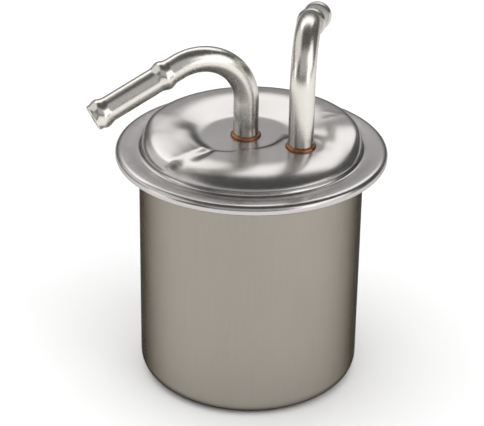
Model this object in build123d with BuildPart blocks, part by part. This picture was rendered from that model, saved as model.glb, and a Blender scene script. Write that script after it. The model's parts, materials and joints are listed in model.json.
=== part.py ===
from build123d import *

import os
from math import copysign, cos, degrees, radians, sin

# Sealed fuel filter. A deep-drawn can stands on its closed end. A stamped cover is folded over the
# can's flange and carries two brazed hose pipes, the outlet near the middle and the inlet beside it.
# Inside, a pleated paper element hangs from the outlet pipe and is pressed up by a coil spring.
# Z is the can's axis, +Z towards the pipes, and Z = 0 is the face that the can stands on.
# Lengths are millimetres and angles are degrees, counted from +X towards +Y.

# --- Can and rim ---
can_radius = 36.0  # outside of the can wall
rim_height = 80.0  # standing face to the top of the rim
can_sheet = 1.0
cover_sheet = 1.0
rim_overhang = 7.5  # rim's outer edge past the can wall
rim_bend = 0.6  # inside bend radius at the rim's upper edge
rim_low_bend = 0.9  # outside bend radius at the rim's lower edge
lip_width = 3.6  # cover's edge folded back under the can's flange
flange_clearance = 0.1  # can's flange to the start of the bend around it
neck_bend = 1.0  # inside bend radius from the can wall to its flange
corner_bend = 5.5  # outside bend radius at the can's lower corner
recess_depth = 2.5  # bottom panel set in from the standing ring
recess_bend = 0.6  # inside bend radius of that panel's step
standing_ring = 4.5  # width of the flat ring that the can stands on

# --- Cover ---
dome_step = 0.6  # dome's wall in from the can wall
dome_bend = 1.2  # inside bend radius at the dome's foot
floor_height = 3.6  # flat floor around the outlet pipe, above the rim
floor_radius = 14.8
crest_height = 7.3  # raised ridge around the rear and right, above the rim
crest_width = 6.4  # from the ridge's inner edge to the dome's wall
crest_bend = 4.6
floor_bend = 5.0  # bend from the floor up to the ridge and the left pad
left_height = 5.9  # lower pad at the left end of the ridge, above the rim
left_slope = 4.5  # radial length of the slope from the floor to that pad
left_fall = 0.9  # how far the pad falls towards the dome's wall
left_bend = 3.6
pad_height = 4.7  # flat pad under the inlet pipe, above the rim
pad_inner_radius = 11.8
hub_margin = 3.0  # plain middle of the floor, in from that radius
pad_step = 1.2  # radial length of the step from the floor to that pad
pad_margin = 11.9  # from the pad's outer edge to the dome's wall
pad_fall = 1.7
pad_bend = 1.8
step_bend = 0.8  # bends of the step from the floor to the pad
roll_bend = 14.0  # bend at the pad's outer edge
ridge_right_end = -10.0  # azimuth where the ridge ends beside the inlet pipe
ridge_left_end = 165.0  # azimuth where the ridge meets the left pad
left_pad_end = 226.0  # azimuth where the left pad meets the front pad
cut_margin = 1.5  # how far a cut runs past the face that it opens

# --- Pipes ---
pipe_radius = 4.0  # for an 8 mm hose
pipe_wall = 0.8
bead_rise = 0.75  # hose bead above the pipe
bead_half_length = 2.3
mouth_bead_setback = 3.0  # middle of the first bead from the pipe's mouth
stop_bead_setback = 25.5  # middle of the second bead, where the hose stops
hole_clearance = 0.05  # pipe to the cover's hole, filled by the braze
braze_leg = 1.2
braze_crown = 0.66  # how round the braze is, as a share of its leg

outlet_x = -1.9
outlet_heading = 203.0
outlet_rise = 12.2  # straight run above the cover's floor
outlet_bend_radius = 16.2
outlet_bend_angle = 115.0
outlet_straight = 30.6

inlet_margin = 17.0  # inlet pipe's axis in from the dome's wall
inlet_azimuth = -33.0
inlet_heading = 83.0
inlet_rise = 19.5
inlet_bend_radius = 14.8
inlet_bend_angle = 106.0
inlet_straight = 29.5
inlet_tail = 1.5  # inlet pipe below the cover's underside

# --- Element ---
cap_sheet = 0.5
cap_skirt = 5.0
cap_bend = 1.0
element_gap = 4.0  # end cap to the can wall, before the element's offset
element_drop = 6.0  # upper end cap below the rim
pleat_count = 48
paper_sheet = 0.5
pleat_gap = 1.3  # outer folds to the end cap's skirt
core_radius = 12.0  # outside of the perforated centre tube
core_wall = 0.6
core_gap = 1.0  # centre tube to the inner folds
core_hole_radius = 2.0
core_holes_per_row = 8
core_row_pitch = 8.0
potting_layer = 1.5  # adhesive under the ends of the paper, and again around them
clip_sheet = 0.4
clip_leg = 4.5
boss_radius = 9.5  # boss on the lower end cap that centres the spring
boss_depth = 2.0
boss_bend = 0.5

# --- Grommet and spring ---
grommet_radius = 7.0
grommet_groove = 1.4  # depth of the groove that clips into the upper end cap
grommet_lip = 2.5
grommet_room = 2.0  # potting kept clear of the grommet
outlet_tail = 2.0  # outlet pipe below the grommet
wire_radius = 0.9
spring_clearance = 1.0  # spring's inside to the boss
spring_height = 10.5
spring_turns = 3

# --- Worked out from the sizes above ---
flange_top = rim_height - cover_sheet
rim_radius = can_radius + rim_overhang
rim_depth = 2 * cover_sheet + can_sheet
dome_radius = can_radius - dome_step
dome_base = flange_top - 2 * cover_sheet
recess_radius = can_radius - corner_bend - standing_ring
flange_radius = rim_radius - cover_sheet - rim_bend - flange_clearance
join_radius = (dome_radius + dome_bend + flange_radius) / 2
floor_z = rim_height + floor_height
hub_radius = pad_inner_radius - hub_margin
pad_z = rim_height + pad_height
panel_z = recess_depth + can_sheet
inlet_x = (dome_radius - inlet_margin) * cos(radians(inlet_azimuth))
inlet_y = (dome_radius - inlet_margin) * sin(radians(inlet_azimuth))

element_radius = can_radius - can_sheet - element_gap
element_top = rim_height - element_drop
element_bottom = panel_z + spring_height
upper_potting_z = element_top - cap_sheet
lower_potting_z = element_bottom + cap_sheet
fold_outer = element_radius - cap_sheet - pleat_gap
fold_inner = core_radius + core_gap
paper_low = lower_potting_z + potting_layer
paper_high = upper_potting_z - potting_layer
outlet_low = upper_potting_z - grommet_lip - outlet_tail
inlet_low = pad_z - cover_sheet - inlet_tail


os.makedirs("parts", exist_ok=True)


def left_normals(points):
    """Unit normal to the left of each run of the line through points."""
    runs = [Vector(*end) - Vector(*start) for start, end in zip(points, points[1:])]
    return [Vector(-run.Y, run.X).normalized() for run in runs]


def shifted_line(points, distance):
    """Corners of the line that lies a distance to the left of the line through points."""
    normals = left_normals(points)
    before = [normals[0]] + normals
    after = normals + [normals[-1]]
    return [
        Vector(*point) + (a + b) * (distance / (1 + a.dot(b)))
        for point, a, b in zip(points, before, after)
    ]


def shifted_bends(points, bends, distance):
    """Bend radii of that line: a left-hand bend tightens by the distance, a right-hand one opens."""
    normals = left_normals(points)
    turns = [a.cross(b).Z for a, b in zip(normals, normals[1:])]
    return [max(bend - distance * copysign(1, turn), 0) for bend, turn in zip(bends, turns)]


def sheet_outline(points, bends, thickness):
    """Outline of a bent sheet: one skin runs through points, the other lies to its left."""
    back = shifted_line(points, thickness)
    with BuildLine() as outline:
        FilletPolyline(*points, radius=bends)
        FilletPolyline(*back, radius=shifted_bends(points, bends, thickness))
        Line(points[0], back[0])
        Line(points[-1], back[-1])
    return outline.line


def upright_plane(azimuth, origin=(0, 0, 0)):
    """Upright plane whose X runs outwards at the azimuth and whose Y runs up."""
    across = (cos(radians(azimuth)), sin(radians(azimuth)), 0)
    normal = (sin(radians(azimuth)), -cos(radians(azimuth)), 0)
    return Plane(origin=origin, x_dir=across, z_dir=normal)


# --- Can: one drawn sheet, from the set-in bottom panel up to the flange ---
can_points = [
    (0, recess_depth),
    (recess_radius, recess_depth),
    (recess_radius, 0),
    (can_radius, 0),
    (can_radius, flange_top - can_sheet),
    (flange_radius, flange_top - can_sheet),
]
can_bends = [recess_bend, recess_bend + can_sheet, corner_bend, neck_bend]

with BuildPart() as can:
    with BuildSketch(Plane.XZ):
        make_face(sheet_outline(can_points, can_bends, can_sheet))
    revolve(axis=Axis.Z)
can.part.label = "can"
export_step(can.part, "parts/can.step")


# --- Cover: one stamped sheet with a ridge, a lower left pad and a front pad, folded over the flange ---
ridge_points = [
    (hub_radius, floor_z),
    (floor_radius, floor_z),
    (dome_radius - crest_width, rim_height + crest_height),
    (dome_radius, rim_height + crest_height),
    (dome_radius, rim_height),
    (join_radius, rim_height),
]
left_pad_points = [
    (hub_radius, floor_z),
    (floor_radius, floor_z),
    (floor_radius + left_slope, rim_height + left_height),
    (dome_radius, rim_height + left_height - left_fall),
    (dome_radius, rim_height),
    (join_radius, rim_height),
]
front_pad_points = [
    (hub_radius, floor_z),
    (pad_inner_radius, floor_z),
    (pad_inner_radius + pad_step, pad_z),
    (dome_radius - pad_margin, pad_z),
    (dome_radius, pad_z - pad_fall),
    (dome_radius, rim_height),
    (join_radius, rim_height),
]
dome_sectors = [
    (ridge_points, [floor_bend, crest_bend, crest_bend, dome_bend]),
    (left_pad_points, [floor_bend, left_bend, left_bend, dome_bend]),
    (front_pad_points, [step_bend, step_bend, roll_bend, pad_bend, dome_bend]),
]


def dome_form(depth):
    """Solid below the dome's top skin, or below the skin that lies a depth under it.

    A turned blank has the dome's wall and foot. The top of each sector is then cut into it.
    """
    web = degrees(depth / (dome_radius - pad_margin))
    ends = [
        ridge_right_end + web,
        ridge_left_end - web,
        left_pad_end - web,
        ridge_right_end + 360 + web,
    ]
    wall_top = (dome_radius - depth, rim_height + crest_height + cut_margin)
    wall_foot = (dome_radius - depth, rim_height - depth)
    foot_edge = (join_radius + depth, rim_height - depth)
    base_z = dome_base - depth
    cut_top = wall_top[1] + cut_margin
    cut_radius = dome_radius + cut_margin
    with BuildPart() as form:
        with BuildSketch(Plane.XZ):
            with BuildLine():
                FilletPolyline(wall_top, wall_foot, foot_edge, radius=dome_bend + depth)
                Polyline(foot_edge, (foot_edge[0], base_z), (0, base_z), (0, wall_top[1]), wall_top)
            make_face()
        revolve(axis=Axis.Z)
        for (points, bends), start, end in zip(dome_sectors, ends, ends[1:]):
            skin = shifted_line(points, -depth)[:-1]
            skin[-1] = Vector(wall_foot[0], rim_height + dome_bend)
            with BuildSketch(upright_plane(start)):
                with BuildLine():
                    FilletPolyline(*skin, radius=shifted_bends(points, bends, -depth)[:-1])
                    Polyline(
                        skin[-1],
                        (cut_radius, skin[-1].Y),
                        (cut_radius, cut_top),
                        (hub_radius, cut_top),
                        skin[0],
                    )
                make_face()
            revolve(axis=Axis.Z, revolution_arc=end - start, mode=Mode.SUBTRACT)
        with BuildSketch(Plane.XY.offset(floor_z - depth)):
            Circle(hub_radius)
        extrude(amount=cut_top - floor_z + depth, mode=Mode.SUBTRACT)
    return form.part


rim_points = [
    (rim_radius - lip_width, rim_height - rim_depth),
    (rim_radius, rim_height - rim_depth),
    (rim_radius, rim_height),
    (join_radius, rim_height),
]
dome_skin = dome_form(0)
dome_hollow = dome_form(cover_sheet)

with BuildPart() as cover:
    add(dome_skin)
    add(dome_hollow, mode=Mode.SUBTRACT)
    with BuildSketch(Plane.XZ):
        make_face(sheet_outline(rim_points, [rim_low_bend, rim_bend + cover_sheet], cover_sheet))
    revolve(axis=Axis.Z)
    with Locations((outlet_x, 0, rim_height), (inlet_x, inlet_y, rim_height)):
        Cylinder(pipe_radius + hole_clearance, rim_height, mode=Mode.SUBTRACT)
cover.part.label = "cover"
export_step(cover.part, "parts/cover.step")


# --- Hose pipes: bent tube with two rolled beads that hold the hose ---
def pipe_route(foot, heading, low_z, bend_z, bend_radius, bend_angle, straight):
    """Centreline of a pipe: up through the cover, over one bend and on to the mouth."""
    with BuildLine(upright_plane(heading, foot)) as route:
        riser = Line((0, low_z), (0, bend_z))
        elbow = JernArc(riser @ 1, riser % 1, bend_radius, -bend_angle)
        PolarLine(elbow @ 1, straight, direction=elbow % 1)
    return route.wire()


def bead_outlines(setbacks):
    """Sections of the hose beads, in a plane whose origin is the mouth and whose X runs out of it."""
    root = pipe_radius - pipe_wall / 2
    with BuildSketch() as beads:
        for setback in setbacks:
            start = (-setback - bead_half_length, root)
            crown = (-setback, pipe_radius + bead_rise)
            end = (-setback + bead_half_length, root)
            with BuildLine():
                ThreePointArc(start, crown, end)
                Line(end, start)
            make_face()
    return beads.sketch


def mouth_plane(route, heading):
    """Plane at a pipe's mouth whose X runs out of the mouth, in the upright plane of the route."""
    return Plane(origin=route @ 1, x_dir=route % 1, z_dir=upright_plane(heading).z_dir)


outlet_route = pipe_route(
    (outlet_x, 0, 0),
    outlet_heading,
    outlet_low,
    floor_z + outlet_rise,
    outlet_bend_radius,
    outlet_bend_angle,
    outlet_straight,
)
inlet_route = pipe_route(
    (inlet_x, inlet_y, 0),
    inlet_heading,
    inlet_low,
    pad_z + inlet_rise,
    inlet_bend_radius,
    inlet_bend_angle,
    inlet_straight,
)

with BuildPart() as outlet_pipe:
    with BuildSketch(Plane(origin=outlet_route @ 0, z_dir=outlet_route % 0)):
        Circle(pipe_radius)
        Circle(pipe_radius - pipe_wall, mode=Mode.SUBTRACT)
    sweep(path=outlet_route)
    with BuildSketch(mouth_plane(outlet_route, outlet_heading)):
        add(bead_outlines([mouth_bead_setback, stop_bead_setback]))
    revolve(axis=Axis(outlet_route @ 1, outlet_route % 1))
outlet_pipe.part.label = "outlet_pipe"
export_step(outlet_pipe.part, "parts/outlet_pipe.step")

with BuildPart() as inlet_pipe:
    with BuildSketch(Plane(origin=inlet_route @ 0, z_dir=inlet_route % 0)):
        Circle(pipe_radius)
        Circle(pipe_radius - pipe_wall, mode=Mode.SUBTRACT)
    sweep(path=inlet_route)
    with BuildSketch(mouth_plane(inlet_route, inlet_heading)):
        add(bead_outlines([mouth_bead_setback, stop_bead_setback]))
    revolve(axis=Axis(inlet_route @ 1, inlet_route % 1))
inlet_pipe.part.label = "inlet_pipe"
export_step(inlet_pipe.part, "parts/inlet_pipe.step")


# --- Braze rings: copper fillets where the pipes stand on the cover ---
def braze_outline(face_z):
    """Section of a rounded braze fillet on a face, outside the pipe."""
    with BuildLine() as outline:
        inner = (pipe_radius, face_z)
        outer = (pipe_radius + braze_leg, face_z)
        top = (pipe_radius, face_z + braze_leg)
        crown = (pipe_radius + braze_crown * braze_leg, face_z + braze_crown * braze_leg)
        Line(inner, outer)
        ThreePointArc(outer, crown, top)
        Line(top, inner)
    return outline.line


with BuildPart() as outlet_braze_ring:
    with BuildSketch(upright_plane(0, (outlet_x, 0, 0))):
        make_face(braze_outline(floor_z))
    revolve(axis=Axis((outlet_x, 0, 0), (0, 0, 1)))
outlet_braze_ring.part.label = "outlet_braze_ring"
export_step(outlet_braze_ring.part, "parts/outlet_braze_ring.step")

with BuildPart() as inlet_braze_ring:
    with BuildSketch(upright_plane(0, (inlet_x, inlet_y, 0))):
        make_face(braze_outline(pad_z))
    revolve(axis=Axis((inlet_x, inlet_y, 0), (0, 0, 1)))
inlet_braze_ring.part.label = "inlet_braze_ring"
export_step(inlet_braze_ring.part, "parts/inlet_braze_ring.step")


# --- Element: pleated paper around a perforated tube, potted into two end caps ---
element_axis = Axis((outlet_x, 0, 0), (0, 0, 1))
element_section = upright_plane(0, (outlet_x, 0, 0))


def element_level(height):
    """Level plane of the element at a height, centred on its own axis."""
    return Plane.XY.offset(height).move(Location((outlet_x, 0, 0)))


with BuildPart() as top_end_cap:
    with BuildSketch(element_section):
        make_face(
            sheet_outline(
                [
                    (element_radius, element_top - cap_skirt),
                    (element_radius, element_top),
                    (grommet_radius - grommet_groove, element_top),
                ],
                [cap_bend],
                cap_sheet,
            )
        )
    revolve(axis=element_axis)
top_end_cap.part.label = "top_end_cap"
export_step(top_end_cap.part, "parts/top_end_cap.step")

with BuildPart() as bottom_end_cap:
    with BuildSketch(element_section):
        make_face(
            sheet_outline(
                [
                    (0, element_bottom - boss_depth),
                    (boss_radius, element_bottom - boss_depth),
                    (boss_radius, element_bottom),
                    (element_radius, element_bottom),
                    (element_radius, element_bottom + cap_skirt),
                ],
                [boss_bend + cap_sheet, boss_bend, cap_bend],
                cap_sheet,
            )
        )
    revolve(axis=element_axis)
bottom_end_cap.part.label = "bottom_end_cap"
export_step(bottom_end_cap.part, "parts/bottom_end_cap.step")


def pleat_point(radius, angle, sideways=0):
    """Point at a radius and an angle, moved sideways across the pleat."""
    a = radians(angle)
    return (radius * cos(a) - sideways * sin(a), radius * sin(a) + sideways * cos(a))


pleat_angle = 360 / pleat_count
flank_angle = pleat_angle / 4
outer_half_width = fold_outer * sin(radians(flank_angle))
inner_half_width = fold_inner * sin(radians(flank_angle))


def pleat_line(offset):
    """Closed line that follows every pleat, a signed offset out from the middle of the paper."""
    outer_bend = outer_half_width + offset
    inner_bend = inner_half_width - offset
    tip = fold_outer - paper_sheet / 2 + offset
    root = fold_inner + paper_sheet / 2 + offset
    with BuildLine() as line:
        for index in range(pleat_count):
            middle = index * pleat_angle
            left = middle - flank_angle
            right = middle + flank_angle
            rise_start = pleat_point(root + inner_bend, left, -offset)
            rise_end = pleat_point(tip - outer_bend, left, -offset)
            fall_start = pleat_point(tip - outer_bend, right, offset)
            fall_end = pleat_point(root + inner_bend, right, offset)
            following = pleat_point(root + inner_bend, left + pleat_angle, -offset)
            Line(rise_start, rise_end)
            ThreePointArc(rise_end, pleat_point(tip, middle), fall_start)
            Line(fall_start, fall_end)
            ThreePointArc(fall_end, pleat_point(root, middle + pleat_angle / 2), following)
    return line.line


with BuildSketch() as pleats:
    make_face(pleat_line(paper_sheet / 2))
    make_face(pleat_line(-paper_sheet / 2), mode=Mode.SUBTRACT)

with BuildPart() as filter_paper:
    with BuildSketch(element_level(paper_low)):
        add(pleats.sketch)
    extrude(amount=paper_high - paper_low)
filter_paper.part.label = "filter_paper"
export_step(filter_paper.part, "parts/filter_paper.step")


def clip_line(offset):
    """Open line around the outer fold of the first pleat, an offset out from the middle of the paper."""
    bend = outer_half_width + offset
    tip = fold_outer - paper_sheet / 2 + offset
    foot = fold_outer - clip_leg
    right = pleat_point(foot, -flank_angle, -offset)
    left = pleat_point(foot, flank_angle, offset)
    fold_start = pleat_point(tip - bend, -flank_angle, -offset)
    fold_end = pleat_point(tip - bend, flank_angle, offset)
    with BuildLine() as line:
        Line(right, fold_start)
        ThreePointArc(fold_start, pleat_point(tip, 0), fold_end)
        Line(fold_end, left)
    return line.wire()


with BuildPart() as pleat_seam_clip:
    with BuildSketch(element_level(paper_low + potting_layer)):
        inside = clip_line(paper_sheet / 2)
        outside = clip_line(paper_sheet / 2 + clip_sheet)
        with BuildLine():
            add(inside)
            add(outside)
            Line(inside @ 0, outside @ 0)
            Line(inside @ 1, outside @ 1)
        make_face()
    extrude(amount=paper_high - paper_low - 2 * potting_layer)
pleat_seam_clip.part.label = "pleat_seam_clip"
export_step(pleat_seam_clip.part, "parts/pleat_seam_clip.step")

with BuildPart() as centre_tube:
    with BuildSketch(element_level(paper_low)):
        Circle(core_radius)
        Circle(core_radius - core_wall, mode=Mode.SUBTRACT)
    tube_length = paper_high - paper_low
    extrude(amount=tube_length)
    row_count = int((tube_length - 2 * potting_layer - 2 * core_hole_radius) // core_row_pitch) + 1
    first_row = (paper_low + paper_high - (row_count - 1) * core_row_pitch) / 2
    hole_pitch = 360 / core_holes_per_row
    for row in range(row_count):
        turn = row % 2 * hole_pitch / 2
        for hole in range(core_holes_per_row // 2):
            middle = (outlet_x, 0, first_row + row * core_row_pitch)
            with BuildSketch(upright_plane(turn + hole * hole_pitch, middle)):
                Circle(core_hole_radius)
            extrude(amount=core_radius, both=True, mode=Mode.SUBTRACT)
centre_tube.part.label = "centre_tube"
export_step(centre_tube.part, "parts/centre_tube.step")

with BuildPart() as upper_potting:
    with BuildSketch(element_level(paper_high)):
        Circle(element_radius - cap_sheet)
        Circle(grommet_radius + grommet_room, mode=Mode.SUBTRACT)
    extrude(amount=potting_layer)
    with BuildSketch(element_level(paper_high - potting_layer)):
        Circle(element_radius - cap_sheet)
        Circle(core_radius, mode=Mode.SUBTRACT)
        add(pleats.sketch, mode=Mode.SUBTRACT)
    extrude(amount=potting_layer)
    corner = upper_potting.edges().filter_by(GeomType.CIRCLE).group_by(Axis.Z)[-1]
    fillet(corner.sort_by(SortBy.RADIUS)[-1], cap_bend - cap_sheet)
upper_potting.part.label = "upper_potting"
export_step(upper_potting.part, "parts/upper_potting.step")

with BuildPart() as lower_potting:
    with BuildSketch(element_level(lower_potting_z)):
        Circle(element_radius - cap_sheet)
    extrude(amount=potting_layer)
    fillet(lower_potting.edges().group_by(Axis.Z)[0], cap_bend - cap_sheet)
    with BuildSketch(element_level(lower_potting_z - boss_depth)):
        Circle(boss_radius - cap_sheet)
    extrude(amount=boss_depth)
    fillet(lower_potting.edges().group_by(Axis.Z)[0], boss_bend)
    with BuildSketch(element_level(paper_low)):
        Circle(element_radius - cap_sheet)
        Circle(core_radius, mode=Mode.SUBTRACT)
        add(pleats.sketch, mode=Mode.SUBTRACT)
    extrude(amount=potting_layer)
lower_potting.part.label = "lower_potting"
export_step(lower_potting.part, "parts/lower_potting.step")


# --- Grommet: rubber ring clipped into the upper end cap, sealing it on the outlet pipe ---
with BuildPart() as outlet_grommet:
    with BuildSketch(element_section):
        with BuildLine():
            Polyline(
                (pipe_radius, upper_potting_z - grommet_lip),
                (grommet_radius, upper_potting_z - grommet_lip),
                (grommet_radius, upper_potting_z),
                (grommet_radius - grommet_groove, upper_potting_z),
                (grommet_radius - grommet_groove, element_top),
                (grommet_radius, element_top),
                (grommet_radius, element_top + grommet_lip),
                (pipe_radius, element_top + grommet_lip),
                close=True,
            )
        make_face()
    revolve(axis=element_axis)
outlet_grommet.part.label = "outlet_grommet"
export_step(outlet_grommet.part, "parts/outlet_grommet.step")


# --- Spring: stands on the can's bottom panel and presses the element up against the outlet pipe ---
spring_radius = boss_radius + spring_clearance + wire_radius
coil_height = spring_height - 2 * wire_radius
coil = Helix(
    pitch=coil_height / spring_turns,
    height=coil_height,
    radius=spring_radius,
    center=(outlet_x, 0, panel_z + wire_radius),
)

with BuildPart() as element_spring:
    with BuildSketch(Plane(origin=coil @ 0, z_dir=coil % 0)):
        Circle(wire_radius)
    sweep(path=coil, is_frenet=True)
element_spring.part.label = "element_spring"
export_step(element_spring.part, "parts/element_spring.step")
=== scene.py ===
import json
from math import atan2, cos, degrees, hypot, inf, pi, radians, sin

import bpy
import numpy as np
from mathutils import Matrix, Vector


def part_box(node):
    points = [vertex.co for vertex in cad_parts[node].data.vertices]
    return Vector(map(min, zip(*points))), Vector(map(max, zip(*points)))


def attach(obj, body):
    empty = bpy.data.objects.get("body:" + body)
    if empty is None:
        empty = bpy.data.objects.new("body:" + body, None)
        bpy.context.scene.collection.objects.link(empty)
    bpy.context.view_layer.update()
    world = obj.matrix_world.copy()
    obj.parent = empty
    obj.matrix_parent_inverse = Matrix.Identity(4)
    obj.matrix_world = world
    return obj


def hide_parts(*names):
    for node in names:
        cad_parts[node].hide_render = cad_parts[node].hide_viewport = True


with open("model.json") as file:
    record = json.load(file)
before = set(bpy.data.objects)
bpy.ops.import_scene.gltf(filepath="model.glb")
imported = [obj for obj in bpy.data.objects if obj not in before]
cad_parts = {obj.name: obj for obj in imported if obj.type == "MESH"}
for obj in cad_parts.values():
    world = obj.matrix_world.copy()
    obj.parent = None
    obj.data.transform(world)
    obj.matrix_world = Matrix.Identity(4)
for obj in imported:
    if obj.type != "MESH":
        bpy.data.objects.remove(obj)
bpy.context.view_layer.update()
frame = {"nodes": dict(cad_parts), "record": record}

# Sealed fuel filter: a drawn can, a stamped cover folded over its flange, and two brazed hose pipes.
# Lengths are millimetres here and become metres when a mesh is made. Angles are degrees from +X to +Y.
MM = 0.001

# --- Sizes and places from the frame ---


def box_mm(node):
    """Lowest and highest corner of a CAD node."""
    low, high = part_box(node)
    return np.array(low) / MM, np.array(high) / MM


mounts = {mount["name"]: mount for mount in frame["record"]["mounts"]}
can_wall = mounts["can_wall"]
can_high = box_mm("can")[1]
cover_low, cover_high = box_mm("cover")
outlet_ring_low, outlet_ring_high = box_mm("outlet_braze_ring")
inlet_ring_low, inlet_ring_high = box_mm("inlet_braze_ring")

can_radius = can_wall["dims"]["r_mm"]
wall_low = can_wall["pos_m"][2] / MM - can_wall["dims"]["length_mm"] / 2
flange_radius = can_high[0]
flange_top = can_high[2]
sheet = 1.0  # thickness of the can and of the cover
rim_z = flange_top + sheet
rim_radius = cover_high[0]
rim_low = cover_low[2]
crest_z = cover_high[2]
pipe_radius = mounts["outlet_hose_seat"]["dims"]["r_mm"]
bore_radius = mounts["outlet_port"]["dims"]["r_mm"]
outlet_axis = (outlet_ring_low + outlet_ring_high) / 2
inlet_axis = (inlet_ring_low + inlet_ring_high) / 2
floor_z = outlet_ring_low[2]
pad_z = inlet_ring_low[2]

# --- Lines and curves ---
ARC_WEIGHT = cos(pi / 4)  # middle weight of a quarter of an ellipse
AXIS_GAP = 1e-6  # a point this close to the axis lies on it


def smooth(low, high, value):
    """0 below low, 1 above high, and a smooth step between them."""
    t = min(max((value - low) / (high - low), 0.0), 1.0)
    return t * t * (3 - 2 * t)


def bell(value, middle, width):
    """1 at the middle, falling smoothly to 0 on both sides."""
    return float(np.exp(-(((value - middle) / width) ** 2)))


def polar(radius, azimuth):
    return np.array([radius * cos(radians(azimuth)), radius * sin(radians(azimuth))])


def segment_distance(point, start, end):
    """Distance from a point to the straight run between two others."""
    run = end - start
    t = min(max((point - start) @ run / (run @ run), 0), 1)
    return np.linalg.norm(point - start - run * t)


def curved_line(corners, bend_steps, run_steps):
    """Points along a line whose corners are rounded like a quarter of an ellipse.

    Each corner is (x, y, reach before it, reach after it). The ends have no reach.
    """
    points = [np.array(corner[:2], float) for corner in corners]
    line = [points[0]]
    for index in range(1, len(points) - 1):
        back, here, ahead = points[index - 1 : index + 2]
        before, after = corners[index][2:]
        start = here + (back - here) / np.linalg.norm(back - here) * before
        end = here + (ahead - here) / np.linalg.norm(ahead - here) * after
        previous = line[-1]
        line += [previous + (start - previous) * k / run_steps for k in range(1, run_steps)]
        for k in range(bend_steps + 1):
            t = k / bend_steps
            weights = np.array([(1 - t) ** 2, 2 * ARC_WEIGHT * t * (1 - t), t**2])
            line.append((weights[0] * start + weights[1] * here + weights[2] * end) / weights.sum())
    previous = line[-1]
    line += [previous + (points[-1] - previous) * k / run_steps for k in range(1, run_steps + 1)]
    return np.array(line)


def height_on(line, radius):
    """Height of a (radius, height) line at a radius."""
    return float(np.interp(radius, line[:, 0], line[:, 1]))


def offset_line(line, distance):
    """Line moved sideways, to its right, by a distance."""
    ahead = np.gradient(line, axis=0)
    ahead /= np.linalg.norm(ahead, axis=1)[:, None]
    return line + distance * np.stack([ahead[:, 1], -ahead[:, 0]], axis=1)


# --- Meshes ---


def level_ring(centre, radius, height, count):
    """Level circle of points around a centre."""
    turns = np.arange(count) * 2 * pi / count
    return [(centre[0] + radius * cos(t), centre[1] + radius * sin(t), height) for t in turns]


def lathe_rings(line, count):
    """Rings of a shape turned around the can's axis. A point on the axis becomes a pole."""
    return [level_ring((0, 0), radius, z, count if radius > AXIS_GAP else 1) for radius, z in line]


def ring_faces(start_a, count_a, start_b, count_b):
    """Faces between two rings of vertices. Either ring may be a pole."""
    faces = []
    count = max(count_a, count_b)
    for k in range(count):
        following = (k + 1) % count
        corners = [
            start_a + (k if count_a > 1 else 0),
            start_a + (following if count_a > 1 else 0),
            start_b + (following if count_b > 1 else 0),
            start_b + (k if count_b > 1 else 0),
        ]
        faces.append([corner for n, corner in enumerate(corners) if corner not in corners[:n]])
    return faces


def grid_mesh(name, rings, closed=True):
    """Smooth mesh through rings of points. closed joins the last ring to the first."""
    counts = [len(ring) for ring in rings]
    starts = np.cumsum([0] + counts).tolist()
    vertices = [tuple(np.array(point) * MM) for ring in rings for point in ring]
    pairs = list(zip(range(len(rings)), range(1, len(rings))))
    if closed:
        pairs.append((len(rings) - 1, 0))
    faces = []
    for a, b in pairs:
        faces += ring_faces(starts[a], counts[a], starts[b], counts[b])
    mesh = bpy.data.meshes.new(name)
    mesh.from_pydata(vertices, [], faces)
    mesh.validate()
    mesh.polygons.foreach_set("use_smooth", [True] * len(mesh.polygons))
    piece = bpy.data.objects.new(name, mesh)
    bpy.context.scene.collection.objects.link(piece)
    return piece


def set_out(piece, node, material):
    """Hang a visible piece on the frame in place of its CAD node."""
    piece.data.materials.clear()
    piece.data.materials.append(material)
    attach(piece, "root")
    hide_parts(node)


# --- Materials ---


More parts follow.
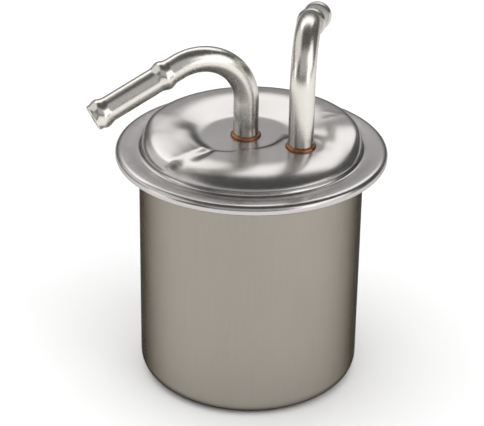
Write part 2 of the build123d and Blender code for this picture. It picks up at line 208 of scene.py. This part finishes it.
class Shader:
    """Small helper around one material's node tree."""

    def __init__(self, name):
        self.material = bpy.data.materials.new(name)
        self.material.use_nodes = True
        self.nodes = self.material.node_tree.nodes
        self.links = self.material.node_tree.links
        self.surface = self.nodes["Principled BSDF"]

    def add(self, kind, **settings):
        node = self.nodes.new(kind)
        for key, value in settings.items():
            setattr(node, key, value)
        return node

    def wire(self, source, target):
        self.links.new(source, target)

    def place(self, scale):
        """Object coordinates, stretched by a scale."""
        coordinates = self.add("ShaderNodeTexCoord")
        mapping = self.add("ShaderNodeMapping")
        mapping.inputs["Scale"].default_value = scale
        self.wire(coordinates.outputs["Object"], mapping.inputs["Vector"])
        return mapping.outputs["Vector"]

    def turn_and_level(self):
        """Angle around the object's Z axis, in radians, and height in metres."""
        coordinates = self.add("ShaderNodeTexCoord")
        split = self.add("ShaderNodeSeparateXYZ")
        self.wire(coordinates.outputs["Object"], split.inputs["Vector"])
        return self.math("ARCTAN2", split.outputs["Y"], split.outputs["X"]), split.outputs["Z"]

    def unrolled(self, turn, level, turn_scale, level_scale):
        """Turn and level as a flat place, each stretched by its scale."""
        place = self.add("ShaderNodeCombineXYZ")
        self.wire(self.math("MULTIPLY", turn, turn_scale), place.inputs["X"])
        self.wire(self.math("MULTIPLY", level, level_scale), place.inputs["Y"])
        return place.outputs["Vector"]

    def noise(self, scale, stretch=(1, 1, 1), detail=4, roughness=0.6, vector=None):
        node = self.add("ShaderNodeTexNoise")
        node.inputs["Scale"].default_value = scale
        node.inputs["Detail"].default_value = detail
        node.inputs["Roughness"].default_value = roughness
        self.wire(vector or self.place(stretch), node.inputs["Vector"])
        return node.outputs["Fac"]

    def span(self, source, low, high, from_low=0.3, from_high=0.7):
        """Source stretched from one range of numbers to another."""
        node = self.add("ShaderNodeMapRange")
        node.inputs["From Min"].default_value = from_low
        node.inputs["From Max"].default_value = from_high
        node.inputs["To Min"].default_value = low
        node.inputs["To Max"].default_value = high
        self.wire(source, node.inputs["Value"])
        return node.outputs["Result"]

    def tint(self, source, low, high, from_low=0.3, from_high=0.7):
        """Colour ramp between two colours."""
        node = self.add("ShaderNodeValToRGB")
        node.color_ramp.elements[0].position = from_low
        node.color_ramp.elements[0].color = (*low, 1)
        node.color_ramp.elements[1].position = from_high
        node.color_ramp.elements[1].color = (*high, 1)
        self.wire(source, node.inputs["Fac"])
        return node.outputs["Color"]

    def math(self, operation, a, b):
        node = self.add("ShaderNodeMath", operation=operation)
        for value, socket in zip((a, b), node.inputs):
            if isinstance(value, (int, float)):
                socket.default_value = value
            else:
                self.wire(value, socket)
        return node.outputs["Value"]

    def bump(self, height, strength, distance):
        """Add relief to the surface, on top of any that it has. The distance is in metres."""
        node = self.add("ShaderNodeBump")
        node.inputs["Strength"].default_value = strength
        node.inputs["Distance"].default_value = distance
        self.wire(height, node.inputs["Height"])
        normal = self.surface.inputs["Normal"]
        if normal.links:
            self.wire(normal.links[0].from_socket, node.inputs["Normal"])
        self.wire(node.outputs["Normal"], normal)


fine_share = 0.6  # of a metal's mottle; the rest is broad
broad_scale = 45
grain_depth = 0.02 * MM
mottle_depth = 0.1 * MM


def metal(name, colour, darker, roughness, spread, grain, grain_scale, relief, edge=0.5):
    """Satin metal with a grain. grain stretches the brush lines, and edge tints grazing views."""
    shader = Shader(name)
    surface = shader.surface
    surface.inputs["Metallic"].default_value = 1.0
    surface.inputs["Specular Tint"].default_value = (edge, edge, edge, 1)
    fine = shader.noise(grain_scale, grain, detail=6, roughness=0.65)
    broad = shader.noise(broad_scale, detail=3)
    fine_part = shader.math("MULTIPLY", fine, fine_share)
    broad_part = shader.math("MULTIPLY", broad, 1 - fine_share)
    mottle = shader.math("ADD", fine_part, broad_part)
    shader.wire(shader.tint(mottle, darker, colour, 0.38, 0.62), surface.inputs["Base Color"])
    shader.wire(shader.span(mottle, roughness - spread, roughness + spread), surface.inputs["Roughness"])
    shader.bump(fine, relief, grain_depth)
    return shader


def plain(name, colour, darker, roughness, scale, relief, metallic=0.0):
    """Finish of a hidden piece, with a mottled colour and a grain."""
    shader = Shader(name)
    surface = shader.surface
    surface.inputs["Metallic"].default_value = metallic
    fine = shader.noise(scale, detail=6)
    shader.wire(shader.tint(fine, darker, colour), surface.inputs["Base Color"])
    shader.wire(shader.span(fine, roughness - 0.06, roughness + 0.06), surface.inputs["Roughness"])
    shader.bump(fine, relief, mottle_depth)
    return shader.material


def add_draw_marks(shader):
    """Short upright marks low on the dome's wall, left by the stamping tool."""
    turn, level = shader.turn_and_level()
    marks = shader.noise(1, detail=3, vector=shader.unrolled(turn, level, 70, 150))
    above = shader.span(level, 0, 1, (rim_z + 0.2) * MM, (rim_z + 0.7) * MM)
    below = shader.span(level, 1, 0, (rim_z + 1.6) * MM, (rim_z + 3.0) * MM)
    marks = shader.math("MULTIPLY", marks, shader.math("MULTIPLY", above, below))
    shader.bump(marks, 0.6, 0.1 * MM)


def add_draw_bands(shader):
    """Faint level bands low on the can, left by deep drawing."""
    turn, level = shader.turn_and_level()
    bands = shader.noise(1, vector=shader.unrolled(turn, level, 0.7, 180))
    bands = shader.math("MULTIPLY", bands, shader.span(level, 1, 0, 15 * MM, 45 * MM))
    shader.bump(bands, 0.5, 0.15 * MM)


body_steel = metal(
    "body_steel", (0.35, 0.324, 0.283), (0.326, 0.30, 0.262), 0.33, 0.03, (60, 60, 1), 60, 0.2, edge=0.0
)
cover_steel = metal(
    "cover_steel", (0.58, 0.56, 0.55), (0.55, 0.53, 0.52), 0.25, 0.03, (6, 6, 6), 60, 0.06
)
pipe_steel = metal(
    "pipe_steel", (0.76, 0.735, 0.68), (0.73, 0.705, 0.65), 0.27, 0.02, (8, 8, 8), 60, 0.02
)
braze_copper = metal(
    "braze_copper", (0.52, 0.25, 0.13), (0.24, 0.10, 0.05), 0.36, 0.10, (6, 6, 6), 90, 0.5
)
plated_steel = plain("plated_steel", (0.66, 0.65, 0.62), (0.54, 0.53, 0.50), 0.32, 300, 0.2, 1.0)
spring_steel = plain("spring_steel", (0.50, 0.50, 0.50), (0.36, 0.36, 0.37), 0.28, 400, 0.2, 1.0)
paper = plain("filter_paper", (0.80, 0.70, 0.42), (0.66, 0.55, 0.30), 0.85, 900, 0.5)
potting = plain("potting_resin", (0.82, 0.74, 0.55), (0.70, 0.61, 0.42), 0.45, 200, 0.15)
rubber = plain("nitrile_rubber", (0.035, 0.035, 0.037), (0.018, 0.018, 0.02), 0.7, 700, 0.3)
add_draw_marks(cover_steel)
add_draw_bands(body_steel)

# --- Can ---
recess_depth = 2.5  # bottom panel set in from the standing ring
recess_bend = 0.6
corner_bend = wall_low
standing_ring = 4.5
neck_bend = 1.0
recess_radius = can_radius - corner_bend - standing_ring
inner_bend = corner_bend - sheet
step_bend = recess_bend + sheet
step_reach = 0.8 * step_bend  # rounds the upright side of the step a little less than its foot
throat_bend = neck_bend + sheet
can_turns = 256
can_skin = curved_line(
    [
        (0, recess_depth, 0, 0),
        (recess_radius, recess_depth, recess_bend, recess_bend),
        (recess_radius, 0, step_reach, step_bend),
        (can_radius, 0, corner_bend, corner_bend),
        (can_radius, flange_top - sheet, neck_bend, neck_bend),
        (flange_radius, flange_top - sheet, 0, 0),
    ],
    bend_steps=16,
    run_steps=10,
)
can_back = curved_line(
    [
        (flange_radius, flange_top, 0, 0),
        (can_radius - sheet, flange_top, throat_bend, throat_bend),
        (can_radius - sheet, sheet, inner_bend, inner_bend),
        (recess_radius + sheet, sheet, recess_bend, recess_bend),
        (recess_radius + sheet, recess_depth + sheet, step_reach, step_bend),
        (0, recess_depth + sheet, 0, 0),
    ],
    bend_steps=6,
    run_steps=3,
)
can = grid_mesh("can_shell", lathe_rings(list(can_skin) + list(can_back), can_turns), closed=False)
set_out(can, "can", body_steel.material)

# --- Cover: one stamping, made as the height of its top skin from the outlet's hole to the dome's wall ---
cover_turns = 480
dome_radius = can_radius - 0.6
wall_width = 1.4  # outermost ring of the dome, where the skin turns upright
wall_foot = 1.0  # height above the rim where the dome's wall meets the ring's fillet
hole_radius = pipe_radius + 0.05
floor_radius = 14.8
lip_radius = rim_radius - 3.6
rim_foot = 0.25  # how far the ring around the dome lies below the rim's crown
crown_radius = dome_radius + 4.9
softening_passes = 9  # a press leaves no sharp corner
arrow_relief = 0.14
valley_depth = 0.30  # of the valley behind the inlet's pad
seam_start = -132.5  # azimuth where the front pad begins, beside the left pad
band_start, band_end = 220.5, 226.0  # azimuths of the slope from the left pad to the front pad

ridge_z = crest_z - 0.9
foot_z = rim_z - rim_foot
ridge_line = curved_line(
    [
        (0, floor_z, 0, 0),
        (floor_radius, floor_z, 0.7, 0.7),
        (26.2, ridge_z, 2.5, 2.5),
        (dome_radius, ridge_z - 0.1, 3.2, 5.0),
        (dome_radius, foot_z, 0, 0),
    ],
    bend_steps=24,
    run_steps=12,
)
left_line = curved_line(
    [
        (0, floor_z, 0, 0),
        (15.8, floor_z, 0.8, 1.0),
        (19.6, floor_z + 2.0, 1.6, 2.5),
        (dome_radius, floor_z + 1.7, 5.5, 5.0),
        (dome_radius, foot_z, 0, 0),
    ],
    bend_steps=24,
    run_steps=12,
)
front_line = curved_line(
    [
        (0, pad_z, 0, 0),
        (dome_radius, pad_z, 12.9, pad_z - foot_z),
        (dome_radius, foot_z - 0.01, 0, 0),
    ],
    bend_steps=60,
    run_steps=12,
)
rim_line = curved_line(
    [
        (dome_radius, rim_z + wall_foot, 0, 0),
        (dome_radius, foot_z, 1.1, 0.9),
        (dome_radius + 1.9, foot_z, 0.7, 1.5),
        (crown_radius, rim_z, 1.5, 1.2),
        (rim_radius, rim_z - 0.05, 1.9, 1.5),
        (rim_radius, rim_low, 0.8, 0.8),
        (lip_radius, rim_low, 0, 0),
    ],
    bend_steps=10,
    run_steps=3,
)
arrow_tip = polar(31.6, 19.5)
arrow_tails = [polar(26.8, 29.0), polar(25.0, 18.5)]


def ridge_top(radius, azimuth):
    """Height of the raised ridge, which falls away towards the rear left."""
    fall = 0.06 * smooth(60, 135, azimuth) * smooth(floor_radius, 29, radius)
    return foot_z + (height_on(ridge_line, radius) - foot_z) * (1 - fall)


def left_top(radius, azimuth, inside):
    """Height of the left pad, which falls towards the front and ends in a slight fold."""
    fall = 0.13 * smooth(174, 213, azimuth) * smooth(17, 21, radius)
    fall += 0.08 * smooth(183, 214, azimuth) * smooth(25, 33, radius)
    fold = max(1 - abs(azimuth - band_start) / 5, 0)
    fall -= 0.02 * fold * smooth(18, 21, radius) * inside
    return foot_z + (height_on(left_line, radius) - foot_z) * (1 - fall)


def front_top(radius, azimuth):
    """Height of the front pad, with the crease down to the floor and the channel beside the left pad."""
    crease = 11.4 + 4.8 * (1 - smooth(-130, -85, azimuth))
    step = (pad_z - floor_z) * (1 - smooth(crease - 0.5, crease + 0.7, radius))
    height = height_on(front_line, radius) - step
    channel = 1 - smooth(-131.5, -125.5, azimuth)
    channel_height = min(height, floor_z + 0.1 + 0.5 * smooth(17, 27, radius))
    return height * (1 - channel) + channel_height * channel


def relief_height(point, to_inlet):
    """Height of the small shapes on the cover: the valley behind the inlet's pad and an arrow."""
    turned = degrees(atan2(point[1] - inlet_axis[1], point[0] - inlet_axis[0]))
    behind = smooth(-30, 10, turned) * (1 - smooth(70, 115, turned))
    valley = valley_depth * bell(to_inlet, 9.8, 2.4) * behind
    arrow = max(bell(segment_distance(point, arrow_tip, tail), 0, 0.4) for tail in arrow_tails)
    return arrow_relief * arrow - valley


def top_height(radius, azimuth):
    """Height of the top skin as a mixture of the front pad, the left pad and the ridge between them."""
    point = polar(radius, azimuth)
    to_inlet = np.linalg.norm(point - inlet_axis[:2])
    inside = 1 - smooth(dome_radius - 5, dome_radius - 0.5, radius)
    around_inlet = (1 - smooth(6.6, 8.6, to_inlet)) * inside
    front = max(1 - smooth(-38, 8, azimuth), around_inlet)
    left = smooth(160, 184, azimuth)
    ridge = max(1 - front - left, 0)
    height = front * front_top(radius, azimuth)
    height += left * left_top(radius, azimuth, inside)
    height += ridge * ridge_top(radius, azimuth)
    return height + relief_height(point, to_inlet)


def seam_height(radius, azimuth):
    """Top height all the way around, with the slope that joins the left pad to the front pad."""
    turned = (azimuth - seam_start) % 360 + seam_start
    if turned <= band_start:
        return top_height(radius, turned)
    share = min((turned - band_start) / (band_end - band_start), 1)
    low = top_height(radius, band_end - 360)
    return top_height(radius, band_start) * (1 - share) + low * share


def softened(heights, flat_count):
    """Heights after one smoothing pass around the cover and one along the flat part of each radius."""
    heights = (np.roll(heights, 1, axis=0) + 2 * heights + np.roll(heights, -1, axis=0)) / 4
    flat = heights[:, :flat_count]
    heights[:, 1 : flat_count - 1] = (flat[:, :-2] + 2 * flat[:, 1:-1] + flat[:, 2:]) / 4
    return heights


def cover_point(azimuth, radius, height):
    """Point of the cover. Its middle is centred on the outlet pipe, its dome and rim on the can."""
    share = 1 - smooth(hole_radius, dome_radius - 2, radius)
    x, y = polar(radius, azimuth)
    return (outlet_axis[0] * share + x, y, height)


def cover_mesh():
    """Closed sheet: the top skin out over the rim and under its lip, and the same line set back below."""
    flat_steps, wall_steps, back_thinning = 104, 22, 4
    flat_radii = list(np.linspace(hole_radius, dome_radius - wall_width, flat_steps))
    wall_radii = [dome_radius - wall_width * (1 - k / wall_steps) ** 2 for k in range(1, wall_steps)]
    radii = np.array(flat_radii + wall_radii)
    azimuths = [360 * k / cover_turns for k in range(cover_turns)]
    heights = np.array([[seam_height(radius, azimuth) for radius in radii] for azimuth in azimuths])
    for _ in range(softening_passes):
        heights = softened(heights, flat_steps)
    profiles = []
    for row in heights:
        top = np.stack([radii, np.maximum(row, rim_z + wall_foot)], axis=1)
        skin = np.concatenate([top, rim_line])
        back = offset_line(skin[::back_thinning], sheet)[::-1]
        profiles.append(np.concatenate([skin, back]))
    rings = [
        [cover_point(azimuth, *profile[station]) for azimuth, profile in zip(azimuths, profiles)]
        for station in range(len(profiles[0]))
    ]
    return grid_mesh("cover_stamping", rings)


set_out(cover_mesh(), "cover", cover_steel.material)

# --- Pipes ---
bead_rise = 0.72
bead_half_length = 2.9
bead_inside = 0.8  # share of a bead's rise that shows inside the pipe
mouth_setback = 3.0  # middle of the first bead from the mouth
stop_setback = 25.5  # middle of the second bead, where the hose stops
flare_rise = 0.15
flare_length = 1.5
lip_depth = 0.3  # rounded end of the wall
lip_room = 0.35
pipe_turns = 72
tail_below_floor = 13  # the outlet pipe reaches at least this far below the cover's floor
up = np.array([0, 0, 1.0])


def pipe_stations(axis, low_z, port):
    """Centre line of a pipe as (point, direction), from its low end to its mouth."""
    arc_steps, straight_steps = 90, 150
    way = np.array(port["axis"])
    straight = port["dims"]["length_mm"]
    mouth = np.array(port["pos_m"]) / MM + way * straight / 2
    bend_end = mouth - way * straight
    across = np.array([way[0], way[1], 0]) / hypot(way[0], way[1])
    turn = pi / 2 + np.arcsin(-way[2])
    bend_radius = (bend_end - axis) @ across / (1 - cos(turn))
    bend_z = bend_end[2] - bend_radius * sin(turn)
    centre = np.array([axis[0], axis[1], bend_z]) + across * bend_radius
    rise = bend_z - low_z
    rise_steps = int(rise)
    stations = []
    for k in range(rise_steps):
        stations.append((np.array([axis[0], axis[1], low_z + k * rise / rise_steps]), up))
    for k in range(arc_steps):
        a = turn * k / arc_steps
        point = centre + bend_radius * (up * sin(a) - across * cos(a))
        stations.append((point, up * cos(a) + across * sin(a)))
    for k in range(straight_steps + 1):
        stations.append((bend_end + way * straight * k / straight_steps, way))
    return stations, mouth, way


def bead(distance, setback):
    """Height of a rolled bead at a distance from the mouth."""
    x = (distance - setback) / bead_half_length
    return bead_rise * 0.5 * (1 + cos(pi * x)) if abs(x) < 1 else 0.0


def pipe(name, axis, low_z, port):
    """Bent tube with two rolled beads, a slight flare and a rounded mouth."""
    stations, mouth, way = pipe_stations(axis, low_z, port)
    side = np.cross(up, way)
    side /= np.linalg.norm(side)
    turns = np.arange(pipe_turns) * 2 * pi / pipe_turns

    def ring(point, ahead, radius):
        across = np.cross(side, ahead)
        return [point + radius * (side * cos(t) + across * sin(t)) for t in turns]

    outside, inside = [], []
    for point, ahead in stations:
        to_mouth = (mouth - point) @ way
        distance = to_mouth if to_mouth < port["dims"]["length_mm"] else inf
        rise = bead(distance, mouth_setback) + bead(distance, stop_setback)
        flare = flare_rise * smooth(0, flare_length, flare_length - distance)
        outside.append((point, ahead, pipe_radius + rise + flare))
        inside.append((point, ahead, bore_radius + rise * bead_inside + flare))
    tip, ahead, outer = outside[-1]
    inner = inside[-1][2]
    lip = []
    for a in np.linspace(0, pi, 9):
        radius = (outer + inner) / 2 + (outer - inner) / 2 * cos(a)
        lip.append((tip - ahead * lip_depth * (1 - sin(a)), ahead, radius))
    outside = [station for station in outside if (tip - station[0]) @ way > lip_room]
    inside = [station for station in inside if (tip - station[0]) @ way > lip_room]
    return grid_mesh(name, [ring(*station) for station in outside + lip + inside[::-1]])


outlet_low = min(box_mm("outlet_pipe")[0][2], floor_z - tail_below_floor)
outlet = pipe("outlet_tube", outlet_axis, outlet_low, mounts["outlet_port"])
set_out(outlet, "outlet_pipe", pipe_steel.material)
inlet_low = box_mm("inlet_pipe")[0][2]
inlet = pipe("inlet_tube", inlet_axis, inlet_low, mounts["inlet_port"])
set_out(inlet, "inlet_pipe", pipe_steel.material)

# --- Braze rings ---
braze_leg = 0.78 * (outlet_ring_high[2] - outlet_ring_low[2])
braze_turns = 160
braze_root = pipe_radius - 0.02  # the braze starts just inside the pipe's skin
braze_sink = 0.5  # how far the fillet reaches down into the cover's sheet


def braze(name, axis, face_z, seed):
    """Rounded copper fillet that runs a little unevenly around the pipe."""
    wave = np.random.default_rng(seed).uniform(0, 2 * pi, 3)
    turns = np.arange(braze_turns) * 2 * pi / braze_turns
    rings = []
    for a in np.linspace(0, pi / 2, 14):
        ring = []
        for t in turns:
            reach = braze_leg * (0.93 + 0.05 * sin(2 * t + wave[0]) + 0.02 * sin(5 * t + wave[1]))
            radius = braze_root + reach * cos(a) ** 0.8
            height = face_z + reach * sin(a) ** 0.8
            ring.append((axis[0] + radius * cos(t), axis[1] + radius * sin(t), height))
        rings.append(ring)
    for radius in (braze_root, pipe_radius + 0.9 * braze_leg):
        rings.append(level_ring(axis, radius, face_z - braze_sink, braze_turns))
    return grid_mesh(name, rings)


outlet_braze = braze("outlet_braze", outlet_axis, floor_z, seed=3)
set_out(outlet_braze, "outlet_braze_ring", braze_copper.material)
inlet_braze = braze("inlet_braze", inlet_axis, pad_z, seed=5)
set_out(inlet_braze, "inlet_braze_ring", braze_copper.material)

# --- Hidden CAD nodes keep their shape and get their finish ---
finishes = {
    "top_end_cap": plated_steel,
    "bottom_end_cap": plated_steel,
    "centre_tube": plated_steel,
    "pleat_seam_clip": plated_steel,
    "filter_paper": paper,
    "upper_potting": potting,
    "lower_potting": potting,
    "outlet_grommet": rubber,
    "element_spring": spring_steel,
}
for node, material in finishes.items():
    mesh = frame["nodes"][node].data
    mesh.materials.clear()
    mesh.materials.append(material)

# --- Floor and backdrop ---
stage_half_width = 2600
floor_front = -2600
backdrop_y = 2000
backdrop_top = 1180
stage_roughness = 0.9


def pale_paper():
    """White paper with a faint mottle."""
    shader = Shader("pale_paper")
    shader.surface.inputs["Roughness"].default_value = stage_roughness
    colour = shader.tint(shader.noise(3), (0.90, 0.90, 0.90), (0.93, 0.93, 0.93))
    shader.wire(colour, shader.surface.inputs["Base Color"])
    return shader.material


def grey_backdrop():
    """Grey backdrop with painted shade: its colour is darker low down."""
    shader = Shader("grey_backdrop")
    shader.surface.inputs["Roughness"].default_value = stage_roughness
    level = shader.turn_and_level()[1]
    share = shader.span(level, 0, 1, 600 * MM, 1000 * MM)
    # painted shade: the backdrop's colour darkens from 0.52 to 0.16 towards its foot
    colour = shader.tint(share, (0.16, 0.16, 0.16), (0.52, 0.52, 0.52), 0, 1)
    shader.wire(colour, shader.surface.inputs["Base Color"])
    return shader.material


def stage_sheet(name, start, end, material):
    """Flat sheet across the stage between two (y, z) lines."""
    mesh = bpy.data.meshes.new(name)
    sides = (-stage_half_width, stage_half_width)
    points = [(x * MM, y * MM, z * MM) for y, z in (start, end) for x in sides]
    mesh.from_pydata(points, [], [(0, 1, 3, 2)])
    mesh.materials.append(material)
    piece = bpy.data.objects.new(name, mesh)
    bpy.context.scene.collection.objects.link(piece)


stage_sheet("floor", (floor_front, 0), (backdrop_y, 0), pale_paper())
stage_sheet("backdrop", (backdrop_y, 0), (backdrop_y, backdrop_top), grey_backdrop())

# --- Lights ---


def softbox(name, azimuth, elevation, distance, width, height, radiance, mirrored=True):
    """Rectangular soft light that faces the object. mirrored lights show in the metal's reflections."""
    light = bpy.data.lights.new(name, "AREA")
    light.shape = "RECTANGLE"
    light.size = width * MM
    light.size_y = height * MM
    light.energy = radiance * pi * light.size * light.size_y
    box = bpy.data.objects.new(name, light)
    a, e = radians(azimuth), radians(elevation)
    offset = Vector((cos(e) * cos(a), cos(e) * sin(a), sin(e))) * distance * MM
    box.location = Vector((0, 0, rim_z * MM)) + offset
    box.rotation_euler = offset.to_track_quat("Z", "Y").to_euler()
    box.visible_camera = False
    box.visible_glossy = mirrored
    bpy.context.scene.collection.objects.link(box)


softbox("rear_light", 90, 44, 1900, 2200, 860, radiance=1.7)
softbox("left_light", 170, 36, 1900, 2600, 1700, radiance=0.8)
softbox("front_panel", -90, 38, 1900, 2400, 1800, radiance=0.40)
softbox("right_light", -25, 26, 1900, 1600, 1400, radiance=1.5)
softbox("left_low_light", 192, 4, 1900, 700, 700, radiance=1.6)
softbox("front_light", -45, 5, 2000, 800, 700, radiance=1.8)
softbox("fill_light", -90, 80, 2400, 3300, 3300, radiance=1.9, mirrored=False)

world = bpy.data.worlds.new("studio")
bpy.context.scene.world = world
world.use_nodes = True
background = world.node_tree.nodes["Background"]
background.inputs["Color"].default_value = (1.0, 0.99, 0.97, 1)
background.inputs["Strength"].default_value = 0.09

# --- Camera, in the photograph's place ---
camera_data = bpy.data.cameras.new("camera")
camera_data.sensor_width = 36
camera_data.lens = 137.85
camera = bpy.data.objects.new("camera", camera_data)
camera_place = Vector((0, -534.4, 336.0)) * MM
camera_yaw, camera_pitch, camera_roll = 0.291, 27.70, 0.855
turn = Matrix.Rotation(radians(camera_yaw), 4, "Z") @ Matrix.Rotation(radians(90 - camera_pitch), 4, "X")
roll = Matrix.Rotation(radians(camera_roll), 4, "Z")
camera.matrix_world = Matrix.Translation(camera_place) @ turn @ roll
bpy.context.scene.collection.objects.link(camera)
bpy.context.scene.camera = camera
bpy.context.scene.view_settings.view_transform = "Standard"
